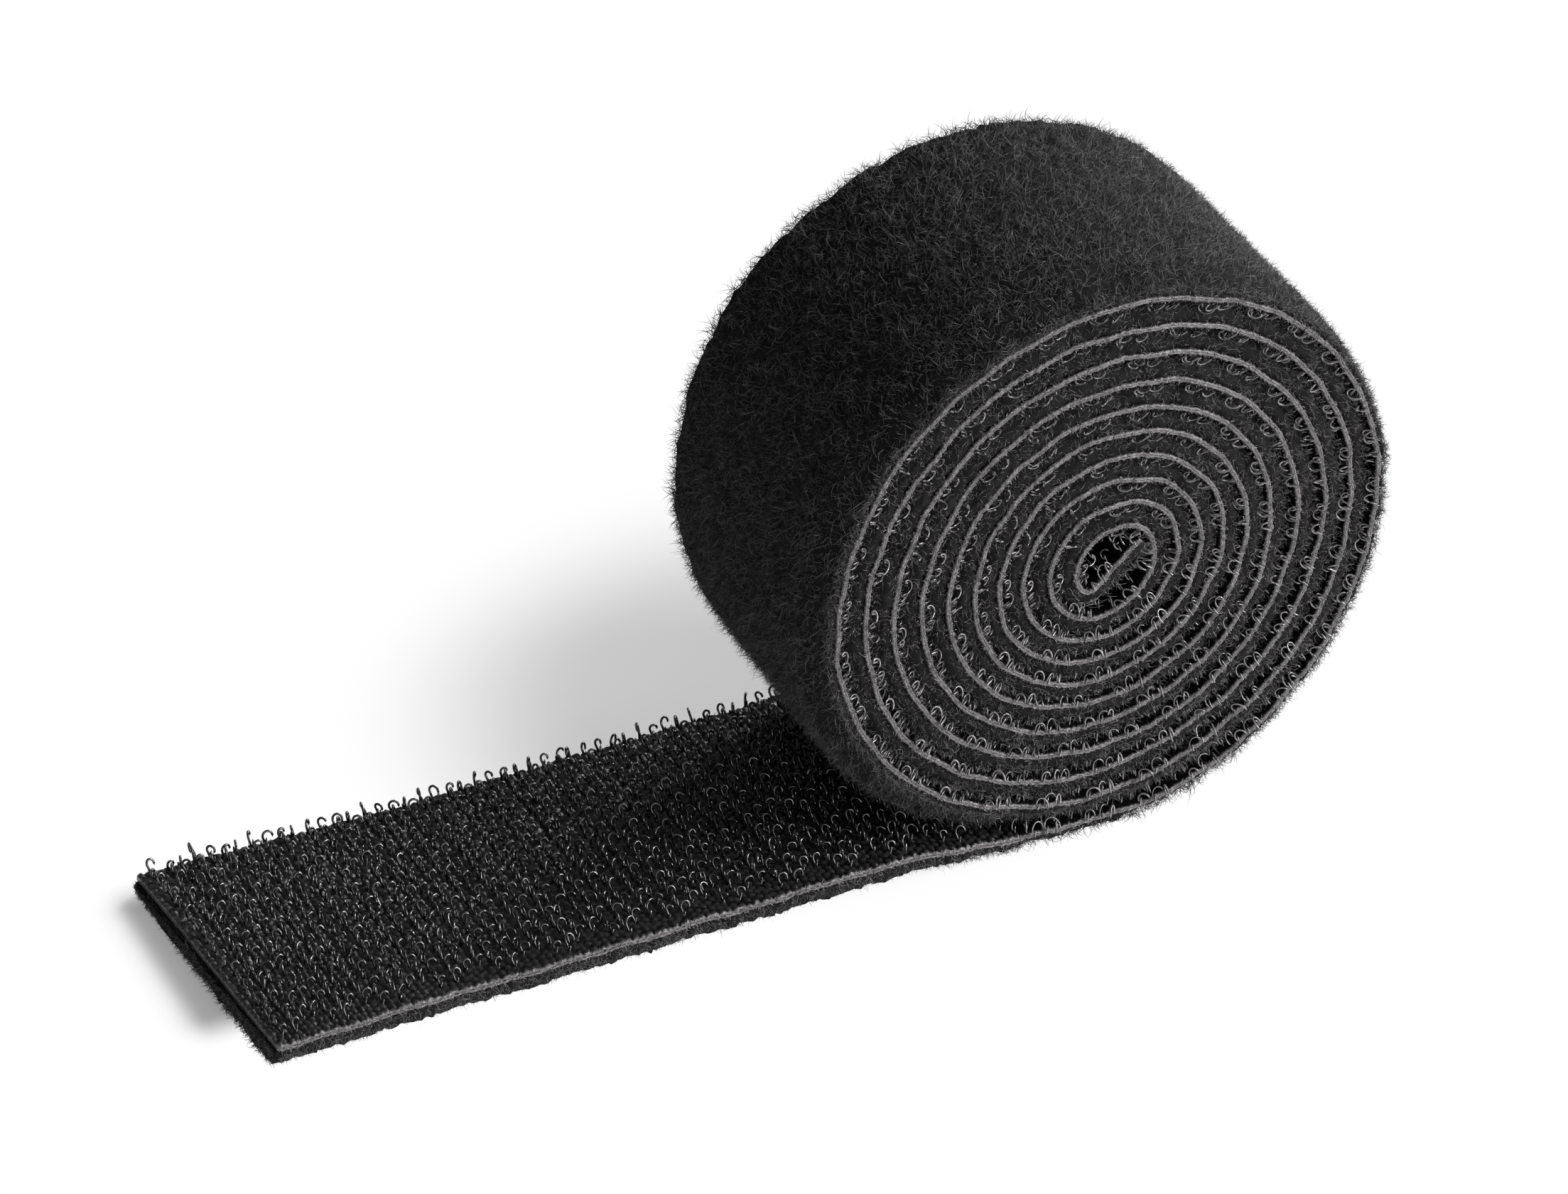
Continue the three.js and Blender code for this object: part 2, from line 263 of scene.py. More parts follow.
def tail_lift(s, y):
    """How far the free end's bond is above the flat that the roll stands on."""
    rise = smoothstep((FREE_LENGTH - LIFT_FROM - s) / LIFT_OVER)
    out = np.clip(1 - s / (FREE_LENGTH - LIFT_FROM - LIFT_OVER), 0, 1)
    far = FAR_LIFT[0] + (FAR_LIFT[1] - FAR_LIFT[0]) * out
    share = np.clip((y + HALF) / TAPE_WIDTH, 0, 1)
    corner = CORNER_LIFT * smoothstep(1 - s / CORNER_REACH) * smoothstep(share)
    return rise * (NEAR_LIFT + (far - NEAR_LIFT) * share) + corner


def place(s, y, h):
    """Metres in the shared frame, from mm along the tape, across it, and out from the bond to the pile."""
    s = s + (HALF - y) * CUT_SKEW * np.clip(1 - s / CUT_FADE, 0, SKEW_LIMIT)
    inside = np.clip(s, 0, LENGTH)
    x, z, nx, nz = (np.interp(inside, ALONG, c) for c in (*LINE.T, *NORMAL.T))
    past = s - inside
    x, z = x - past * nz, z + past * nx
    h = h + WAVE * waves(s, WAVE_LENGTHS, FACE_SEED)
    z = z + tail_lift(s, y) + nz * h
    z = np.where(z < TABLE_SKIN, TABLE_SKIN * np.exp(np.minimum(z / TABLE_SKIN - 1, 0)), z)
    y = y + EDGE_DRIFT * waves(s, DRIFT_LENGTHS, EDGE_SEED)
    return np.stack([x + nx * h, y + 0 * x, z], axis=-1) / 1000


def new_object(name, points, faces, **facts):
    """A smooth mesh from points and a list of face arrays, with its colour facts as point attributes."""
    mesh = bpy.data.meshes.new(name)
    points = np.ascontiguousarray(points, np.float32).reshape(-1, 3)
    faces = [np.asarray(f, np.int32) for f in faces if len(f)]
    sizes = np.concatenate([np.full(len(f), f.shape[1]) for f in faces])
    mesh.vertices.add(len(points))
    mesh.vertices.foreach_set("co", points.ravel())
    mesh.loops.add(int(sizes.sum()))
    mesh.loops.foreach_set("vertex_index", np.concatenate([f.ravel() for f in faces]))
    mesh.polygons.add(len(sizes))
    mesh.polygons.foreach_set("loop_start", np.r_[0, np.cumsum(sizes)[:-1]].astype(np.int32))
    mesh.update(calc_edges=True)
    mesh.shade_smooth()
    for key, values in facts.items():
        data = mesh.attributes.new(key, "FLOAT", "POINT").data
        data.foreach_set("value", np.asarray(values, np.float32).ravel())
    made = bpy.data.objects.new(name, mesh)
    bpy.context.collection.objects.link(made)
    return made


def loft(name, rings, **facts):
    """A closed body through equal rings of points, with its two ends capped."""
    steps, around = rings.shape[:2]
    index = np.arange(steps * around).reshape(steps, around)
    side = np.roll(index, -1, axis=1)
    quads = np.stack([index[:-1], side[:-1], side[1:], index[1:]], axis=-1).reshape(-1, 4)
    return new_object(name, rings, [quads, index[:1, ::-1], index[-1:]], **facts)


def tubes(name, paths, radii, sides, across, tone):
    """Round filaments along paths (n, k, 3), pointed at the end. No path follows its across direction."""
    count, steps = paths.shape[:2]
    way = np.gradient(paths, axis=1)
    way /= np.linalg.norm(way, axis=2, keepdims=True) + 1e-12
    one = np.cross(way, across[:, None, :])
    one /= np.linalg.norm(one, axis=2, keepdims=True) + 1e-12
    two = np.cross(way, one)
    turn = TURN * np.arange(sides) / sides
    ring = one[:, :-1, None] * np.cos(turn)[:, None] + two[:, :-1, None] * np.sin(turn)[:, None]
    body = paths[:, :-1, None] + ring * radii[:, :-1, None, None]
    each = (steps - 1) * sides + 1
    points = np.concatenate([body.reshape(count, -1, 3), paths[:, -1:]], axis=1)
    k = np.arange(sides)
    after = (k + 1) % sides
    quads = [
        np.stack([r * sides + k, r * sides + after, (r + 1) * sides + after, (r + 1) * sides + k], 1)
        for r in range(steps - 2)
    ]
    last = (steps - 2) * sides
    tips = np.stack([last + k, last + after, np.full(sides, each - 1)], 1)
    first = (np.arange(count) * each)[:, None, None]
    faces = [(f[None] + first).reshape(-1, f.shape[1]) for f in (np.concatenate(quads), tips)]
    return new_object(name, points, faces, tone=np.repeat(tone, each))


def graded(limit, steps, power):
    """Places across the tape, closer together towards its edges."""
    t = np.linspace(-1, 1, steps)
    return limit * np.sign(t) * (1 - (1 - np.abs(t)) ** power)


def kernels(s, y):
    """The height of the weave's nubs, 0 to 1: staggered rounded kernels, each a little out of its place."""
    rows, columns = KERNEL_TABLE
    rng = np.random.default_rng(KERNEL_SEED)
    jitter = rng.uniform(-KERNEL_JITTER, KERNEL_JITTER, (rows, columns, 2))
    row, column = np.floor(s / KERNEL[0]), np.floor(y / KERNEL[1])
    nearest = np.full(np.broadcast_shapes(s.shape, y.shape), np.inf)
    for i in (-1, 0, 1):
        for k in (-1, 0, 1):
            r, c = (row + i).astype(int), (column + k).astype(int)
            off = jitter[r % rows, c % columns]
            u = s / KERNEL[0] - (r + 0.5 + off[..., 0])
            v = y / KERNEL[1] - (c + 0.5 + off[..., 1] + KERNEL_STAGGER * (1 - 2 * (r % 2)))
            nearest = np.minimum(nearest, u * u + v * v)
    return np.clip(1 - nearest / KERNEL_FALL, 0, 1) ** KERNEL_ROUND


def weave(name, low, high, start, end, step, columns, nub_height=0.0):
    """One ground fabric as a closed strip from start to end along the tape, with a beaded edge."""
    # Each cloth has draws of its own, apart from the drift of the bond, which the two that meet there share
    rng = np.random.default_rng(len(name) * 101 + int(start))
    s = np.linspace(start, end, max(int((end - start) / step), 2) + 1)[:, None]
    even = np.linspace(-HALF, HALF, columns)
    y = (even if nub_height else graded(HALF, columns, CLOTH_CROWDING))[None, :]
    rise = np.clip((HALF - np.abs(y)) / EDGE_ROUND, 0, 1) ** 0.5
    beads = BEAD * np.sin(TURN * s / BEAD_LENGTH + 3 * low) + FRAY * rng.normal(size=s.shape)
    spread = 1 + beads / HALF
    half = (high - low) / 2
    drift = BOND_UNEVEN * np.random.default_rng(int(start)).normal(size=s.shape)
    thick = EDGE_THICK + (1 - EDGE_THICK) * rise
    swell = half * thick * (1 + UNEVEN * rng.normal(size=(len(s), columns)))
    middle = drift + (swell if high > 0 else -swell)
    nubs = kernels(s, y) if nub_height else np.zeros_like(swell)
    inner = middle - swell - nub_height * nubs * np.clip(rise, 0.3, 1)
    outer = middle + swell
    across = np.concatenate([y * spread, (y * spread)[:, ::-1]], axis=1)
    out = np.concatenate([inner, outer[:, ::-1]], axis=1)
    near = np.concatenate([np.abs(y), np.abs(y)[:, ::-1]], axis=1) + 0 * s
    grey = smoothstep((near - (HALF - GREY_FROM)) / GREY_OVER)
    edge = np.maximum(grey, CUT_GREY * smoothstep(1 - s / CUT_GREY_OVER))
    rings = place(np.broadcast_to(s, across.shape), across, out)
    # the nubs' height, kept as the mask of the painted shade between them
    nub = np.concatenate([nubs, np.zeros_like(nubs)], axis=1)
    return loft(name, rings, edge=edge, nub=nub)


def fuller(s, y):
    """What free pile has over pressed pile: below the free end, and where the roll hangs over."""
    free_end = FULL_NAP * np.maximum(tail_lift(s, y), 0) * smoothstep((HALF - np.abs(y)) / FULL_NAP_EDGE)
    on_roll = sum(more * smoothstep((s - start) / over) for more, start, over in FULLER)
    hidden = smoothstep((s - OUTER_TURN + TUCK / 2) / TUCK)
    return free_end + on_roll * (1 - hidden) * smoothstep((y + HALF) / FULLER_EDGE)


def pile_body(name, start, end, step):
    """The matted depth of the pile, below the loose fibres, as a closed uneven strip."""
    rng = np.random.default_rng(int(start) + 17)
    s = np.linspace(start, end, max(int((end - start) / step), 2) + 1)[:, None]
    y = graded(HALF - MATTING_INSET, MATTING_COLUMNS, PILE_CROWDING)[None, :]
    rounding = np.where((s > ON_TABLE) & (s < OUTER_TURN) & (y < 0), NEAR_SHOULDER, SHOULDER)
    inset = HALF - np.abs(y)
    rise = np.clip(inset / rounding, 0.1, 1) ** 0.6
    held_open = smoothstep((s - OUTER_TURN - TUCK / 2) / TUCK) * smoothstep(inset / NEAR_SHOULDER)
    top = GROUND + (PILE - LOOSE) * rise + fuller(s, y) + BETWEEN_TURNS * held_open
    top = top + MATTING_UNEVEN * rng.normal(size=(len(s), MATTING_COLUMNS))
    foot = np.full_like(top, GROUND)
    ragged = 1 + MATTING_RAGGED * rng.normal(size=s.shape)
    across = np.concatenate([y * ragged, (y * ragged)[:, ::-1]], axis=1)
    out = np.concatenate([foot, top[:, ::-1]], axis=1)
    tone = rng.uniform(0, 0.5, out.shape)
    at_cut_end = s < PATH_STEP
    along = s - (END_RAGGED[0] + END_RAGGED[1] * rng.uniform(0, 1, out.shape)) * at_cut_end
    return loft(name, place(along, across, out), tone=tone)


def fibres(name, s, y, h, lean, reach, rng, radius=FIBRE_RADIUS, tone_power=2.2, gather=None, stubs=False):
    """Loose curled fibres rooted at s, y, h. lean is each one's direction along, across and out.

    A higher tone_power makes more of them dark, gather draws their tips together, stubs have fewer faces.
    """
    count = len(s)
    lean = lean / np.linalg.norm(lean, axis=1)[:, None]
    curl = rng.normal(size=(count, 3))
    curl -= lean * np.sum(curl * lean, axis=1)[:, None]
    curl /= np.linalg.norm(curl, axis=1)[:, None]
    t = np.array(STUB_STEPS if stubs else FIBRE_STEPS)[None, :, None]
    bend = rng.uniform(0.4, 1.5, count)[:, None, None]
    local = reach[:, None, None] * (lean[:, None] * t * (1 - 0.3 * bend * t) + curl[:, None] * bend * t * t)
    if gather is not None:
        local[:, :, :2] += gather[:, None, :] * t * t
    at = [c[:, None] + local[:, :, k] for k, c in enumerate((s, y, h))]
    across = np.cross(lean, curl)
    width = radius * rng.uniform(0.7, 1.25, count)[:, None] * (1 - TAPER * t[:, :, 0] ** 2)
    tone = rng.uniform(0, 1, count) ** tone_power
    return tubes(name, place(*at), width / 1000, FIBRE_SIDES, across, tone)


def outside_nap(name, start, end, density, seed, tall):
    """The brushed face: fibres that lie over in small locks, mostly one way, with swirls."""
    rng = np.random.default_rng(seed)
    count = int(density * THINNER * (end - start) * TAPE_WIDTH)
    s, y = rng.uniform(start, end, count), rng.uniform(-HALF, HALF, count)
    cells = np.floor(s / LOCK).astype(int), np.floor(y / LOCK).astype(int)
    table = np.random.default_rng(LOCK_SEED).normal(size=(*LOCK_TABLE, 4))
    lock = table[cells[0] % LOCK_TABLE[0], cells[1] % LOCK_TABLE[1]]
    middle = (np.stack(cells, 1) + 0.5 + LOCK_JITTER * lock[:, :2]) * LOCK
    swirl = 0.5 + waves(s + 0.6 * y, SWIRL_LENGTHS, SWIRL_SEED)
    swirl = swirl + 0.7 * waves(y - 0.4 * s, CROSS_SWIRL_LENGTHS, CROSS_SWIRL_SEED)
    facing = swirl + LOCK_TURN * lock[:, 2]
    lean = NAP_LEAN * np.stack([np.cos(facing), np.sin(facing), np.full(count, NAP_RISE)], 1)
    lean += rng.normal(size=(count, 3)) * np.array(NAP_STRAY)
    lean[:, 1] += SPLAY * np.sign(y) * smoothstep((np.abs(y) - HALF + SPLAY_OVER) / SPLAY_OVER)
    lean[:, 2] = np.abs(lean[:, 2])
    near_edge = smoothstep((np.abs(y) - HALF + NEAR_EDGE) / NEAR_EDGE) * np.where(y < 0, *EDGE_SHARES)
    past, before = (s - SHORT_FROM[0]) / SHORT_FROM[1], (SHORT_TO[0] - s) / SHORT_TO[1]
    tall = tall * (1 - SHORTER * smoothstep(past) * smoothstep(before))
    reach = tall * (1 - EDGE_SHORTER * near_edge) * rng.uniform(*REACH_SPREAD, count)
    reach = reach * (1 + LOCK_LENGTH * lock[:, 3])
    gather = GATHER * (middle - np.stack([s, y], 1))
    h = rng.uniform(*ROOT_HEIGHTS, count) * (1 - EDGE_LOWER * near_edge) + fuller(s, y)
    return fibres(name, s, y, h, lean, reach, rng, tone_power=2.4, gather=gather)


def edge_nap(name, start, end, density, side, seed, tall, tone_power=1.0):
    """Pile fibres that show at one edge of the tape, poking out between the turns."""
    rng = np.random.default_rng(seed)
    count = int(density * THINNER * (end - start))
    s = rng.uniform(start, end, count)
    h = rng.uniform(GROUND, tall, count)
    sunk = 0.15 + 0.4 * np.clip(h - 1.0, 0, 1)
    y = side * (HALF - sunk - rng.uniform(0, 0.8, count))
    along, across = rng.normal(0, 0.7, count), side * rng.uniform(0.0, 0.6, count)
    lean = np.stack([along, across, rng.normal(0.2, 0.6, count)], 1)
    reach = rng.uniform(0.35, 0.9, count)
    return fibres(name, s, y, h, lean, reach, rng, EDGE_FIBRE_RADIUS, tone_power, stubs=True)


def edge_fuzz(name, start, end, density, side, seed):
    """Cut filaments along one edge of the two grounds."""
    rng = np.random.default_rng(seed)
    count = int(density * THINNER * (end - start))
    s = rng.uniform(start, end, count)
    y = side * rng.uniform(HALF - 0.15, HALF - 0.02, count)
    h = rng.normal(0, 0.62, count) * GROUND
    along, across = rng.normal(0, 1.0, count), side * rng.uniform(0.1, 0.6, count)
    lean = np.stack([along, across, rng.normal(0, 0.45, count)], 1)
    reach = rng.uniform(0.1, 0.36, count)
    return fibres(name, s, y, h, lean, reach, rng, FUZZ_RADIUS, tone_power=1.1, stubs=True)


def cut_fuzz(name, density, seed):
    """Pile fibres and thread ends that stick out of the cut end."""
    rng = np.random.default_rng(seed)
    count = int(density * THINNER * TAPE_WIDTH)
    s, y = rng.uniform(-0.4, 0.5, count), rng.uniform(-HALF + 0.5, HALF - 0.1, count)
    depth = (1.2 + fuller(s, y)) * (0.6 + 0.4 * smoothstep((y + HALF) / 3))
    h = GROUND + rng.uniform(0, 1, count) * depth
    along, across = rng.uniform(-1.0, -0.1, count), rng.normal(0, 0.5, count)
    lean = np.stack([along, across, rng.normal(0.3, 0.5, count)], 1)
    reach = rng.uniform(0.3, 0.85, count) * (1 - 0.4 * smoothstep(y / HALF))
    return fibres(name, s, y, h, lean, reach, rng)


def place_hook(s, y, a, b, c, ahead, aside):
    """Hook paths from their own plane: a along it, b up from the ground and c out of it."""
    along = s[:, None] + a * ahead[:, :1] + c * aside[:, :1]
    across = y[:, None] + a * ahead[:, 1:] + c * aside[:, 1:] + COMBED * b
    return place(along, across, -GROUND - b)


def hook_roots(start, end, bands, margin, deeper):
    """Where the filaments rise: along, across, and which of the four kinds stands there.

    Where deeper is true, the kinds that stand across the tape keep further from its near edge.
    """
    roots = []
    for row in range(math.ceil(start / ROW_STEP), math.ceil(end / ROW_STEP)):
        shift = ROW_SHIFTS[row % len(ROW_SHIFTS)]
        y = HALF - FAR_SELVEDGE - shift - np.arange(0, TAPE_WIDTH - FAR_SELVEDGE - margin, HOOK_STEP)
        kind = (row + 2 * np.arange(len(y))) % len(FACINGS)
        kept = y > -HALF + margin + deeper * np.array(DEEPER)[kind]
        kept &= np.any([(y >= low) & (y <= high) for low, high in bands], axis=0)
        roots.append(np.stack([np.full(len(y), row * ROW_STEP), y, kind], 1)[kept])
    return np.concatenate(roots).T


def hooks(name, start, end, bands, margin, seed, shape, nearer=0.0):
    """Cut monofilament loops: a stem with a rounded head on each root, and the leg that it was cut from."""
    rng = np.random.default_rng(seed)
    s, y, kind = hook_roots(start, end, bands, margin, nearer == 0)
    count = len(s)
    s = s + rng.normal(0, ROOT_JITTER[0], count)
    y = y + rng.normal(0, ROOT_JITTER[1], count) - nearer
    kind = kind.astype(int)
    facing = np.radians(np.array(FACINGS)[kind]) + rng.normal(0, FACING_JITTER, count)
    size = (np.array(HEIGHTS)[kind] * rng.uniform(*SIZE_SPREAD, count))[:, None]
    ahead = np.stack([np.cos(facing), np.sin(facing)], 1)
    aside = np.stack([-np.sin(facing), np.cos(facing)], 1)
    stem, head, sweep, thick, sides = shape
    head = head * rng.uniform(*HEAD_SPREAD, count)[:, None]
    sweep = sweep * rng.uniform(*SWEEP_SPREAD, count)
    angle = np.linspace(0, 1, HEAD_STEPS)[None] * np.radians(sweep)[:, None]
    rise = np.broadcast_to(stem * np.array(STEM_POINTS), (count, 2))
    a = np.hstack([STEM_LEAN * (rise / stem - 1), head * (np.cos(angle) - 1)]) * size + STEM_AHEAD
    b = np.hstack([rise, stem + head * np.sin(angle)]) * size
    drift = rng.normal(0, SIDE_LEAN, count)[:, None] * b
    ring = place_hook(s, y, a, b, drift, ahead, aside)
    t = np.linspace(0, 1, LEG_STEPS)[None]
    long = rng.uniform(*LEG_LENGTHS, count)[:, None]
    a = (LEG_AHEAD - LEG_LEAN * t * long) * size
    b = (t * long - LEG_ROOT) * size
    leg = place_hook(s, y, a, b, LEG_ASIDE + 0 * b, ahead, aside)
    across = place(s, y, 0 * s) - place(s + aside[:, 0], y + aside[:, 1], 0 * s)
    made = []
    for part, path in (("hooks", ring), ("legs", leg)):
        width = np.full(path.shape[:2], thick / 1000)
        made.append(tubes(f"{name}_{part}", path, width, sides, across, rng.uniform(0, 1, count)))
    return made


def nodes_of(name):
    """A new node material, its tree and its shader."""
    made = bpy.data.materials.new(name)
    made.use_nodes = True
    tree = made.node_tree
    return made, tree, tree.nodes["Principled BSDF"]


def add(tree, kind, links=None, **values):
    """A node with its properties and input values set. links is input name to output socket."""
    node = tree.nodes.new(kind)
    for key, value in values.items():
        if key in node.inputs:
            node.inputs[key].default_value = value
        else:
            setattr(node, key, value)
    for key, socket in (links or {}).items():
        tree.links.new(socket, node.inputs[key])
    return node


def ramp(tree, factor, stops, tint=(1.04, 0.985, 1.0)):
    """Near-neutral greys at stops of a factor."""
    node = add(tree, "ShaderNodeValToRGB", {"Fac": factor})
    elements = node.color_ramp.elements
    while len(elements) < len(stops):
        elements.new(0.5)
    for element, (at, value) in zip(elements, stops):
        element.position = at
        element.color = (value * tint[0], value * tint[1], value * tint[2], 1)
    return node.outputs["Color"]


def noise(tree, coordinates, scale, detail=2.0):
    """Soft speckles, about scale of them to a metre."""
    node = add(tree, "ShaderNodeTexNoise", {"Vector": coordinates}, Scale=scale, Detail=detail)
    return node.outputs["Fac"]


def rough_between(tree, shader, factor, low, high):
    """Lets the roughness go from low to high with a factor."""
    node = add(tree, "ShaderNodeMapRange", {"Value": factor}, **{"To Min": low, "To Max": high})
    tree.links.new(node.outputs["Result"], shader.inputs["Roughness"])


def fibre_material(name, dark, light, roughness=0.5, specular=0.3, sheen=0.0):
    """Nylon fibres whose grey changes from one to the next and drifts over the face."""
    made, tree, shader = nodes_of(name)
    where = add(tree, "ShaderNodeTexCoord").outputs["Object"]
    tone = add(tree, "ShaderNodeAttribute", attribute_name="tone").outputs["Fac"]
    patches = noise(tree, where, 320.0, 3.0)
    drift = add(tree, "ShaderNodeMapRange", {"Value": patches}, **{"To Min": 0.75, "To Max": 1.2})
    shades = {0: tone, 1: drift.outputs["Result"]}
    mixed = add(tree, "ShaderNodeMath", shades, operation="MULTIPLY").outputs[0]
    colour = ramp(tree, mixed, [(0.0, dark), (0.4, dark + 0.3 * (light - dark)), (1.0, light)])
    tree.links.new(colour, shader.inputs["Base Color"])
    rough_between(tree, shader, patches, roughness - 0.1, roughness + 0.15)
    shader.inputs["Specular IOR Level"].default_value = specular
    shader.inputs["Sheen Weight"].default_value = sheen
    shader.inputs["Sheen Roughness"].default_value = 0.5
    return made


def weave_material(name, dark, light, edge_low, edge_high):
    """Woven nylon: threads as fine ridges, mottled, with painted shade dark between the nubs and paler on
    their tops, and a grey cut edge.
    """
    made, tree, shader = nodes_of(name)
    where = add(tree, "ShaderNodeTexCoord").outputs["Object"]
    edge = add(tree, "ShaderNodeAttribute", attribute_name="edge").outputs["Fac"]
    fine, coarse = noise(tree, where, 7000.0, 4.0), noise(tree, where, 900.0, 3.0)
    # painted shade: the cloth goes dark down between the nubs and paler on their tops, speckled by fine
    # noise
    nub = add(tree, "ShaderNodeAttribute", attribute_name="nub").outputs["Fac"]
    nub_shade_speckled = add(tree, "ShaderNodeMath", {0: nub, 1: fine}, operation="MULTIPLY").outputs[0]
    cloth = ramp(tree, nub_shade_speckled, [(0.1, dark), (0.55, light)])
    cut = ramp(tree, fine, [(0.34, edge_low), (0.66, edge_high)])
    wear = {"From Min": 0.3, "From Max": 0.6, "To Min": 0.6}
    worn = add(tree, "ShaderNodeMapRange", {"Value": coarse}, **wear)
    share = add(tree, "ShaderNodeMath", {0: edge, 1: worn.outputs["Result"]}, operation="MULTIPLY")
    colour = add(tree, "ShaderNodeMix", data_type="RGBA")
    # A mix node has sockets of one name for numbers, vectors and colours, so the colour ones go by number
    for socket, source in ((0, share.outputs[0]), (6, cloth), (7, cut)):
        tree.links.new(source, colour.inputs[socket])
    tree.links.new(colour.outputs[2], shader.inputs["Base Color"])
    ridges = add(tree, "ShaderNodeTexWave", {"Vector": where}, Scale=900.0, Distortion=2.5, Detail=2.0)
    ridges.bands_direction = "DIAGONAL"
    height = add(tree, "ShaderNodeMath", {0: ridges.outputs["Fac"], 1: fine}, operation="ADD").outputs[0]
    bump = add(tree, "ShaderNodeBump", {"Height": height}, Strength=0.5, Distance=0.00006)
    tree.links.new(bump.outputs["Normal"], shader.inputs["Normal"])
    rough_between(tree, shader, fine, 0.24, 0.4)
    shader.inputs["Specular IOR Level"].default_value = 0.4
    return made


def filament_material(name, dark, light):
    """Shiny drawn nylon, a little scuffed."""
    made, tree, shader = nodes_of(name)
    where = add(tree, "ShaderNodeTexCoord").outputs["Object"]
    tone = add(tree, "ShaderNodeAttribute", attribute_name="tone").outputs["Fac"]
    scuffs = noise(tree, where, 2600.0, 3.0)
    mixed = add(tree, "ShaderNodeMath", {0: tone, 1: scuffs}, operation="MULTIPLY").outputs[0]
    tree.links.new(ramp(tree, mixed, [(0.1, dark), (0.7, light)]), shader.inputs["Base Color"])
    rough_between(tree, shader, scuffs, 0.07, 0.2)
    shader.inputs["IOR"].default_value = 1.55
    shader.inputs["Specular IOR Level"].default_value = 1.0
    return made


def vector_step(tree, operation, source, value=None):
    """One step of vector arithmetic."""
    node = add(tree, "ShaderNodeVectorMath", {0: source}, operation=operation)
    if value is not None:
        node.inputs[1].default_value = value
    return node.outputs["Vector"]


def from_zone(tree, where, zone):
    """Millimetres on the table from a zone's centre."""
    flat = vector_step(tree, "MULTIPLY", where, (1000.0, 1000.0, 0.0))
    return vector_step(tree, "SUBTRACT", flat, (*zone[0], 0.0))


def fade(tree, offset, whole, gone):
    """1 where an offset is shorter than whole, and 0 where it is longer than gone."""
    far = add(tree, "ShaderNodeVectorMath", {0: offset}, operation="LENGTH").outputs["Value"]
    reach = {"From Min": whole, "From Max": gone, "To Min": 1.0, "To Max": 0.0}
    node = add(tree, "ShaderNodeMapRange", {"Value": far}, interpolation_type="SMOOTHSTEP", **reach)
    return node.outputs["Result"]


def floor_material():
    """A white table, plain white to the camera and in shiny pieces through a painted white glow that hides
    the object's shadow, apart from the zones where that shadow is kept.
    """
    made, tree, shader = nodes_of("table_white")
    where = add(tree, "ShaderNodeTexCoord").outputs["Object"]
    grain = ramp(tree, noise(tree, where, 40.0), [(0.0, 0.90), (1.0, 0.91)], (1, 1, 1))
    tree.links.new(grain, shader.inputs["Base Color"])
    shader.inputs["Roughness"].default_value = 0.8
    shader.inputs["Specular IOR Level"].default_value = 0.1
    path = add(tree, "ShaderNodeLightPath").outputs
    shiny = {0: path["Is Glossy Ray"], 1: path["Is Transmission Ray"]}
    shiny = add(tree, "ShaderNodeMath", shiny, operation="MAXIMUM").outputs[0]
    seen = add(tree, "ShaderNodeMath", {0: path["Is Camera Ray"], 1: shiny}, operation="MAXIMUM")
    in_roll = vector_step(tree, "DIVIDE", from_zone(tree, where, SHADOW_ZONE), (*SHADOW_ZONE[1], 1000.0))
    beside = vector_step(tree, "ABSOLUTE", from_zone(tree, where, TAPE_ZONE))
    beside = vector_step(tree, "SUBTRACT", beside, (*TAPE_ZONE[1], 0.0))
    beside = vector_step(tree, "MAXIMUM", beside, (0.0, 0.0, 0.0))
    roll_shade = fade(tree, in_roll, *SHADOW_FADE)
    tape_shade = fade(tree, beside, 0.0, TAPE_SHADOW)
    shade = add(tree, "ShaderNodeMath", {0: roll_shade, 1: tape_shade}, operation="MAXIMUM").outputs[0]
    white = add(tree, "ShaderNodeMapRange", {"Value": shade}, **{"To Min": 1.0, "To Max": PAINTED_WHITE_IN_SHADOW})
    share = {0: seen.outputs[0], 1: white.outputs["Result"]}
    share = add(tree, "ShaderNodeMath", share, operation="MULTIPLY").outputs[0]
    # painted light: the table's glow, white over the shadow that the lamps cast
    painted_white_glow = add(tree, "ShaderNodeEmission")
    both = add(tree, "ShaderNodeMixShader", {0: share, 1: shader.outputs[0], 2: painted_white_glow.outputs[0]})
    tree.links.new(both.outputs[0], tree.nodes["Material Output"].inputs["Surface"])
    return made


MATERIALS = {
    "pile": fibre_material("pile_nap", dark=0.006, light=0.175, sheen=0.12),
    "edge_pile": fibre_material("edge_nap", dark=0.013, light=0.21, sheen=0.1),
    # the pile's matted depth, the same fibres painted darker: painted shade deep in the pile
    "matting_painted_shade": fibre_material("pile_matting", dark=0.006, light=0.025, roughness=0.9, specular=0.1),
    "fuzz": fibre_material("cut_edge_fuzz", dark=0.055, light=0.4),
    # the hook weave's dark and light are the two ends of its painted shade between the nubs
    "hook_ground": weave_material("hook_weave", dark=0.002, light=0.029, edge_low=0.045, edge_high=0.22),
    "loop_ground": weave_material("loop_weave", dark=0.004, light=0.012, edge_low=0.045, edge_high=0.24),
    "hooks": filament_material("hook_filament", dark=0.004, light=0.016),
    # the same nylon as the free end's hooks, painted lighter: painted light for what the hooks catch on the
    # roll's end face
    "edge_hooks_painted_light": filament_material("edge_hook_filament_painted_light", dark=0.05, light=0.24),
}


def dress(piece, material, slot, body=None, bend=None, stands_for=()):
    """Gives a piece its material and lets it ride one body, or, where a bend is given, bakes its placement
    into its points. slot is not used.
    """
    piece.data.materials.append(MATERIALS[material])
    if bend is None:
        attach(piece, body)
    else:
        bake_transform(piece)
    if stands_for:
        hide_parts(*stands_for)
    return piece


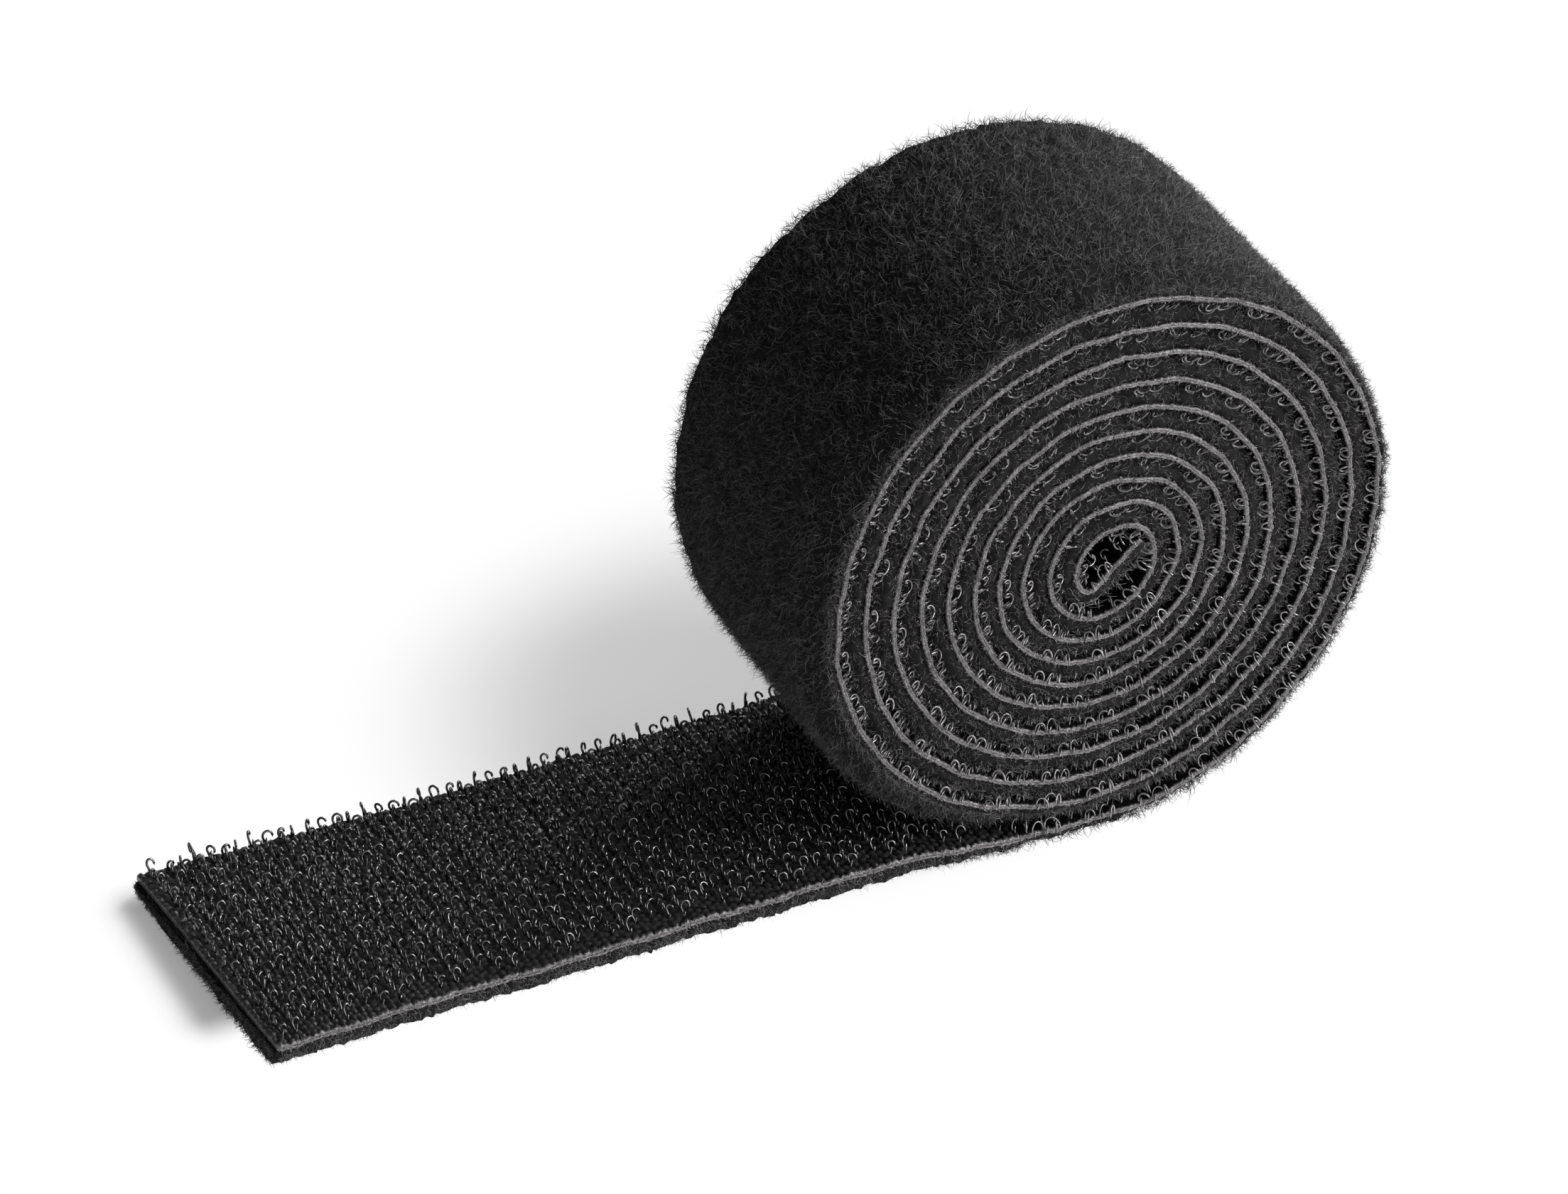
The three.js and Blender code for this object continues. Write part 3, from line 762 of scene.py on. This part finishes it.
# Where the tape is divided: one hinge line to each free stretch, whose pieces are handed its bend
SEAMS = [FREE_LENGTH - (FIRST_HINGE + STRETCH * (k - 0.5)) for k in range(STRETCHES)] + [0.0]
BEND_HALF = 6.5  # mm each way from the line


def bend_of(number):
    """The two bodies and the reach of the bend at a hinge."""
    x = -(FIRST_HINGE + STRETCH * (number - 1))
    held = "roll" if number == 1 else f"tail_{number - 1}"
    ends = [((x + way * BEND_HALF) / 1000, 0.0, BOND_HEIGHT / 1000) for way in (1, -1)]
    return held, f"tail_{number}", *ends


def build_winding():
    """All that rides the roll, from the first seam to the folded inner end."""
    start = SEAMS[0]
    body = {"body": "roll"}
    mesh = start, LENGTH, CLOTH_STEP, WINDING_COLUMNS
    hook_cloth = weave("winding_hook_weave", -GROUND, 0.0, *mesh)
    loop_cloth = weave("winding_loop_weave", 0.0, GROUND, *mesh)
    core = pile_body("winding_pile_matting", start, LENGTH, WINDING_MATTING_STEP)
    dress(hook_cloth, "hook_ground", "hook_ground", stands_for=["winding_hook_ground"], **body)
    dress(loop_cloth, "loop_ground", "loop_ground", stands_for=["winding_loop_ground"], **body)
    dress(core, "matting_painted_shade", "pile", stands_for=["winding_pile"], **body)
    for n, (side, way) in enumerate((("front", -1), ("back", 1))):
        band = [sorted((way * HALF, way * (HALF - EDGE_HOOK_DEPTH)))]
        nearer = FRONT_SHIFT if side == "front" else 0.0
        span = start, LENGTH - INNER_BARE
        seed = WINDING_SEEDS["hooks"] + n
        for piece in hooks(f"winding_{side}", *span, band, EDGE_HOOK_MARGIN, seed, ROUND, nearer):
            # the lighter copy of the filament, with painted light
            dress(piece, "edge_hooks_painted_light", "hooks", **body)
        parts = np.r_[start, np.linspace(OUTER_TURN, LENGTH, EDGE_PARTS + 1)]
        for part, span in enumerate(zip(parts[:-1], parts[1:])):
            seed = 10 * part + n
            shape = OUTER_EDGE if part == 0 else INNER_EDGE
            name = f"winding_{side}_nap_{part + 1}"
            nap = edge_nap(name, *span, NAP_EDGE[side], way, WINDING_SEEDS["edge_nap"] + seed, **shape)
            dress(nap, "edge_pile", "pile", **body)
            name = f"winding_{side}_cut_edge_{part + 1}"
            fuzz = edge_fuzz(name, *span, FUZZ_EDGE[side], way, WINDING_SEEDS["fuzz"] + seed)
            dress(fuzz, "fuzz", "hook_ground", **body)
    parts = np.linspace(start, OUTER_TURN, NAP_PARTS + 1)
    for n, span in enumerate(zip(parts[:-1], parts[1:])):
        seed = WINDING_SEEDS["nap"] + n
        nap = outside_nap(f"winding_nap_{n + 1}", *span, NAP_OUTSIDE, seed, OUTSIDE_REACH)
        dress(nap, "pile", "pile", **body)


def build_stretch(number):
    """One stretch of the free end, counted from the roll, whose pieces are handed the bend of its own hinge
    line.
    """
    start, end = SEAMS[number], SEAMS[number - 1]
    bend = {"bend": bend_of(number)}
    name = f"tail_{number}"
    hook_cloth = weave(f"{name}_hook_weave", -GROUND, 0.0, start, end, NUB_STEP, NUB_COLUMNS, NUB_HEIGHT)
    loop_cloth = weave(f"{name}_loop_weave", 0.0, GROUND, start, end, CLOTH_STEP, TAIL_COLUMNS)
    core = pile_body(f"{name}_pile_matting", start, end, TAIL_MATTING_STEP)
    for cloth, layer in ((hook_cloth, "hook_ground"), (loop_cloth, "loop_ground")):
        dress(cloth, layer, layer, stands_for=[f"{name}_{layer}"], **bend)
    dress(core, "matting_painted_shade", "pile", stands_for=[f"{name}_pile"], **bend)
    seed = TAIL_SEEDS["hooks"] + number
    heads, legs = hooks(name, max(start, CUT_BARE), end, [(-HALF, HALF)], SELVEDGE, seed, STEMMED)
    dress(heads, "hooks", "hooks", stands_for=[f"{name}_hooks"], **bend)
    dress(legs, "hooks", "hooks", **bend)
    nap = outside_nap(f"{name}_nap", start, end, NAP_BELOW, TAIL_SEEDS["nap"] + number, BELOW_REACH)
    dress(nap, "pile", "pile", **bend)
    for n, (side, way) in enumerate((("front", -1), ("back", 1))):
        density = TAIL_EDGE_SHARE * NAP_EDGE[side]
        seed = TAIL_SEEDS["edge_nap"] + 2 * number + n
        nap = edge_nap(f"{name}_{side}_nap", start, end, density, way, seed, **TAIL_EDGE)
        dress(nap, "edge_pile", "pile", **bend)
        seed = TAIL_SEEDS["fuzz"] + 2 * number + n
        fuzz = edge_fuzz(f"{name}_{side}_cut_edge", start, end, FUZZ_EDGE[side], way, seed)
        dress(fuzz, "fuzz", "hook_ground", **bend)
    if number == STRETCHES:
        dress(cut_fuzz(f"{name}_cut_end", NAP_CUT_END, TAIL_SEEDS["cut_end"]), "pile", "pile", **bend)


def build_camera():
    """The camera that was fitted to the photo."""
    azimuth, elevation, roll = (math.radians(v) for v in (-26.008, 36.021, 0.276))
    focal_pixels, frame_pixels = 9000.0, 2207.0
    stand = Vector((-0.247828, -0.453049, 0.393216))
    level = math.cos(elevation)
    back = Vector((math.sin(azimuth) * level, -math.cos(azimuth) * level, math.sin(elevation)))
    right = (-back).cross(Vector((0, 0, 1))).normalized()
    up = right.cross(-back)
    tilted = right * math.cos(roll) + up * math.sin(roll), up * math.cos(roll) - right * math.sin(roll)
    data = bpy.data.cameras.new("camera")
    data.sensor_fit, data.sensor_width = "HORIZONTAL", 36.0
    data.lens = focal_pixels * data.sensor_width / frame_pixels
    data.clip_start, data.clip_end = 0.05, 20.0
    made = bpy.data.objects.new("camera", data)
    turn = Matrix((*tilted, back)).transposed().to_4x4()
    made.matrix_world = Matrix.Translation(stand) @ turn
    bpy.context.collection.objects.link(made)
    bpy.context.scene.camera = made


def area_light(name, stand, size, power):
    """A soft lamp that looks at the object."""
    data = bpy.data.lights.new(name, "AREA")
    data.shape, data.size, data.size_y, data.energy = "RECTANGLE", *size, power
    made = bpy.data.objects.new(name, data)
    bpy.context.collection.objects.link(made)
    made.location = stand
    made.rotation_euler = (Vector(LAMP_AIM) - Vector(stand)).to_track_quat("-Z", "Y").to_euler()


def build_stage():
    """The table, the world and the lamps."""
    corners = TABLE_REACH * np.array([(-1, -1, 0), (1, -1, 0), (1, 1, 0), (-1, 1, 0)])
    floor = new_object("table", corners, [np.array([[0, 1, 2, 3]])])
    floor.data.materials.append(floor_material())
    world = bpy.data.worlds.new("studio")
    bpy.context.scene.world = world
    world.use_nodes = True
    sky = world.node_tree.nodes["Background"]
    sky.inputs["Color"].default_value = (1, 1, 1, 1)
    sky.inputs["Strength"].default_value = SKY
    for lamp in LAMPS:
        area_light(*lamp)
    bpy.context.scene.view_settings.view_transform = "Standard"


build_camera()
build_winding()
for stretch in range(1, STRETCHES + 1):
    build_stretch(stretch)
build_stage()
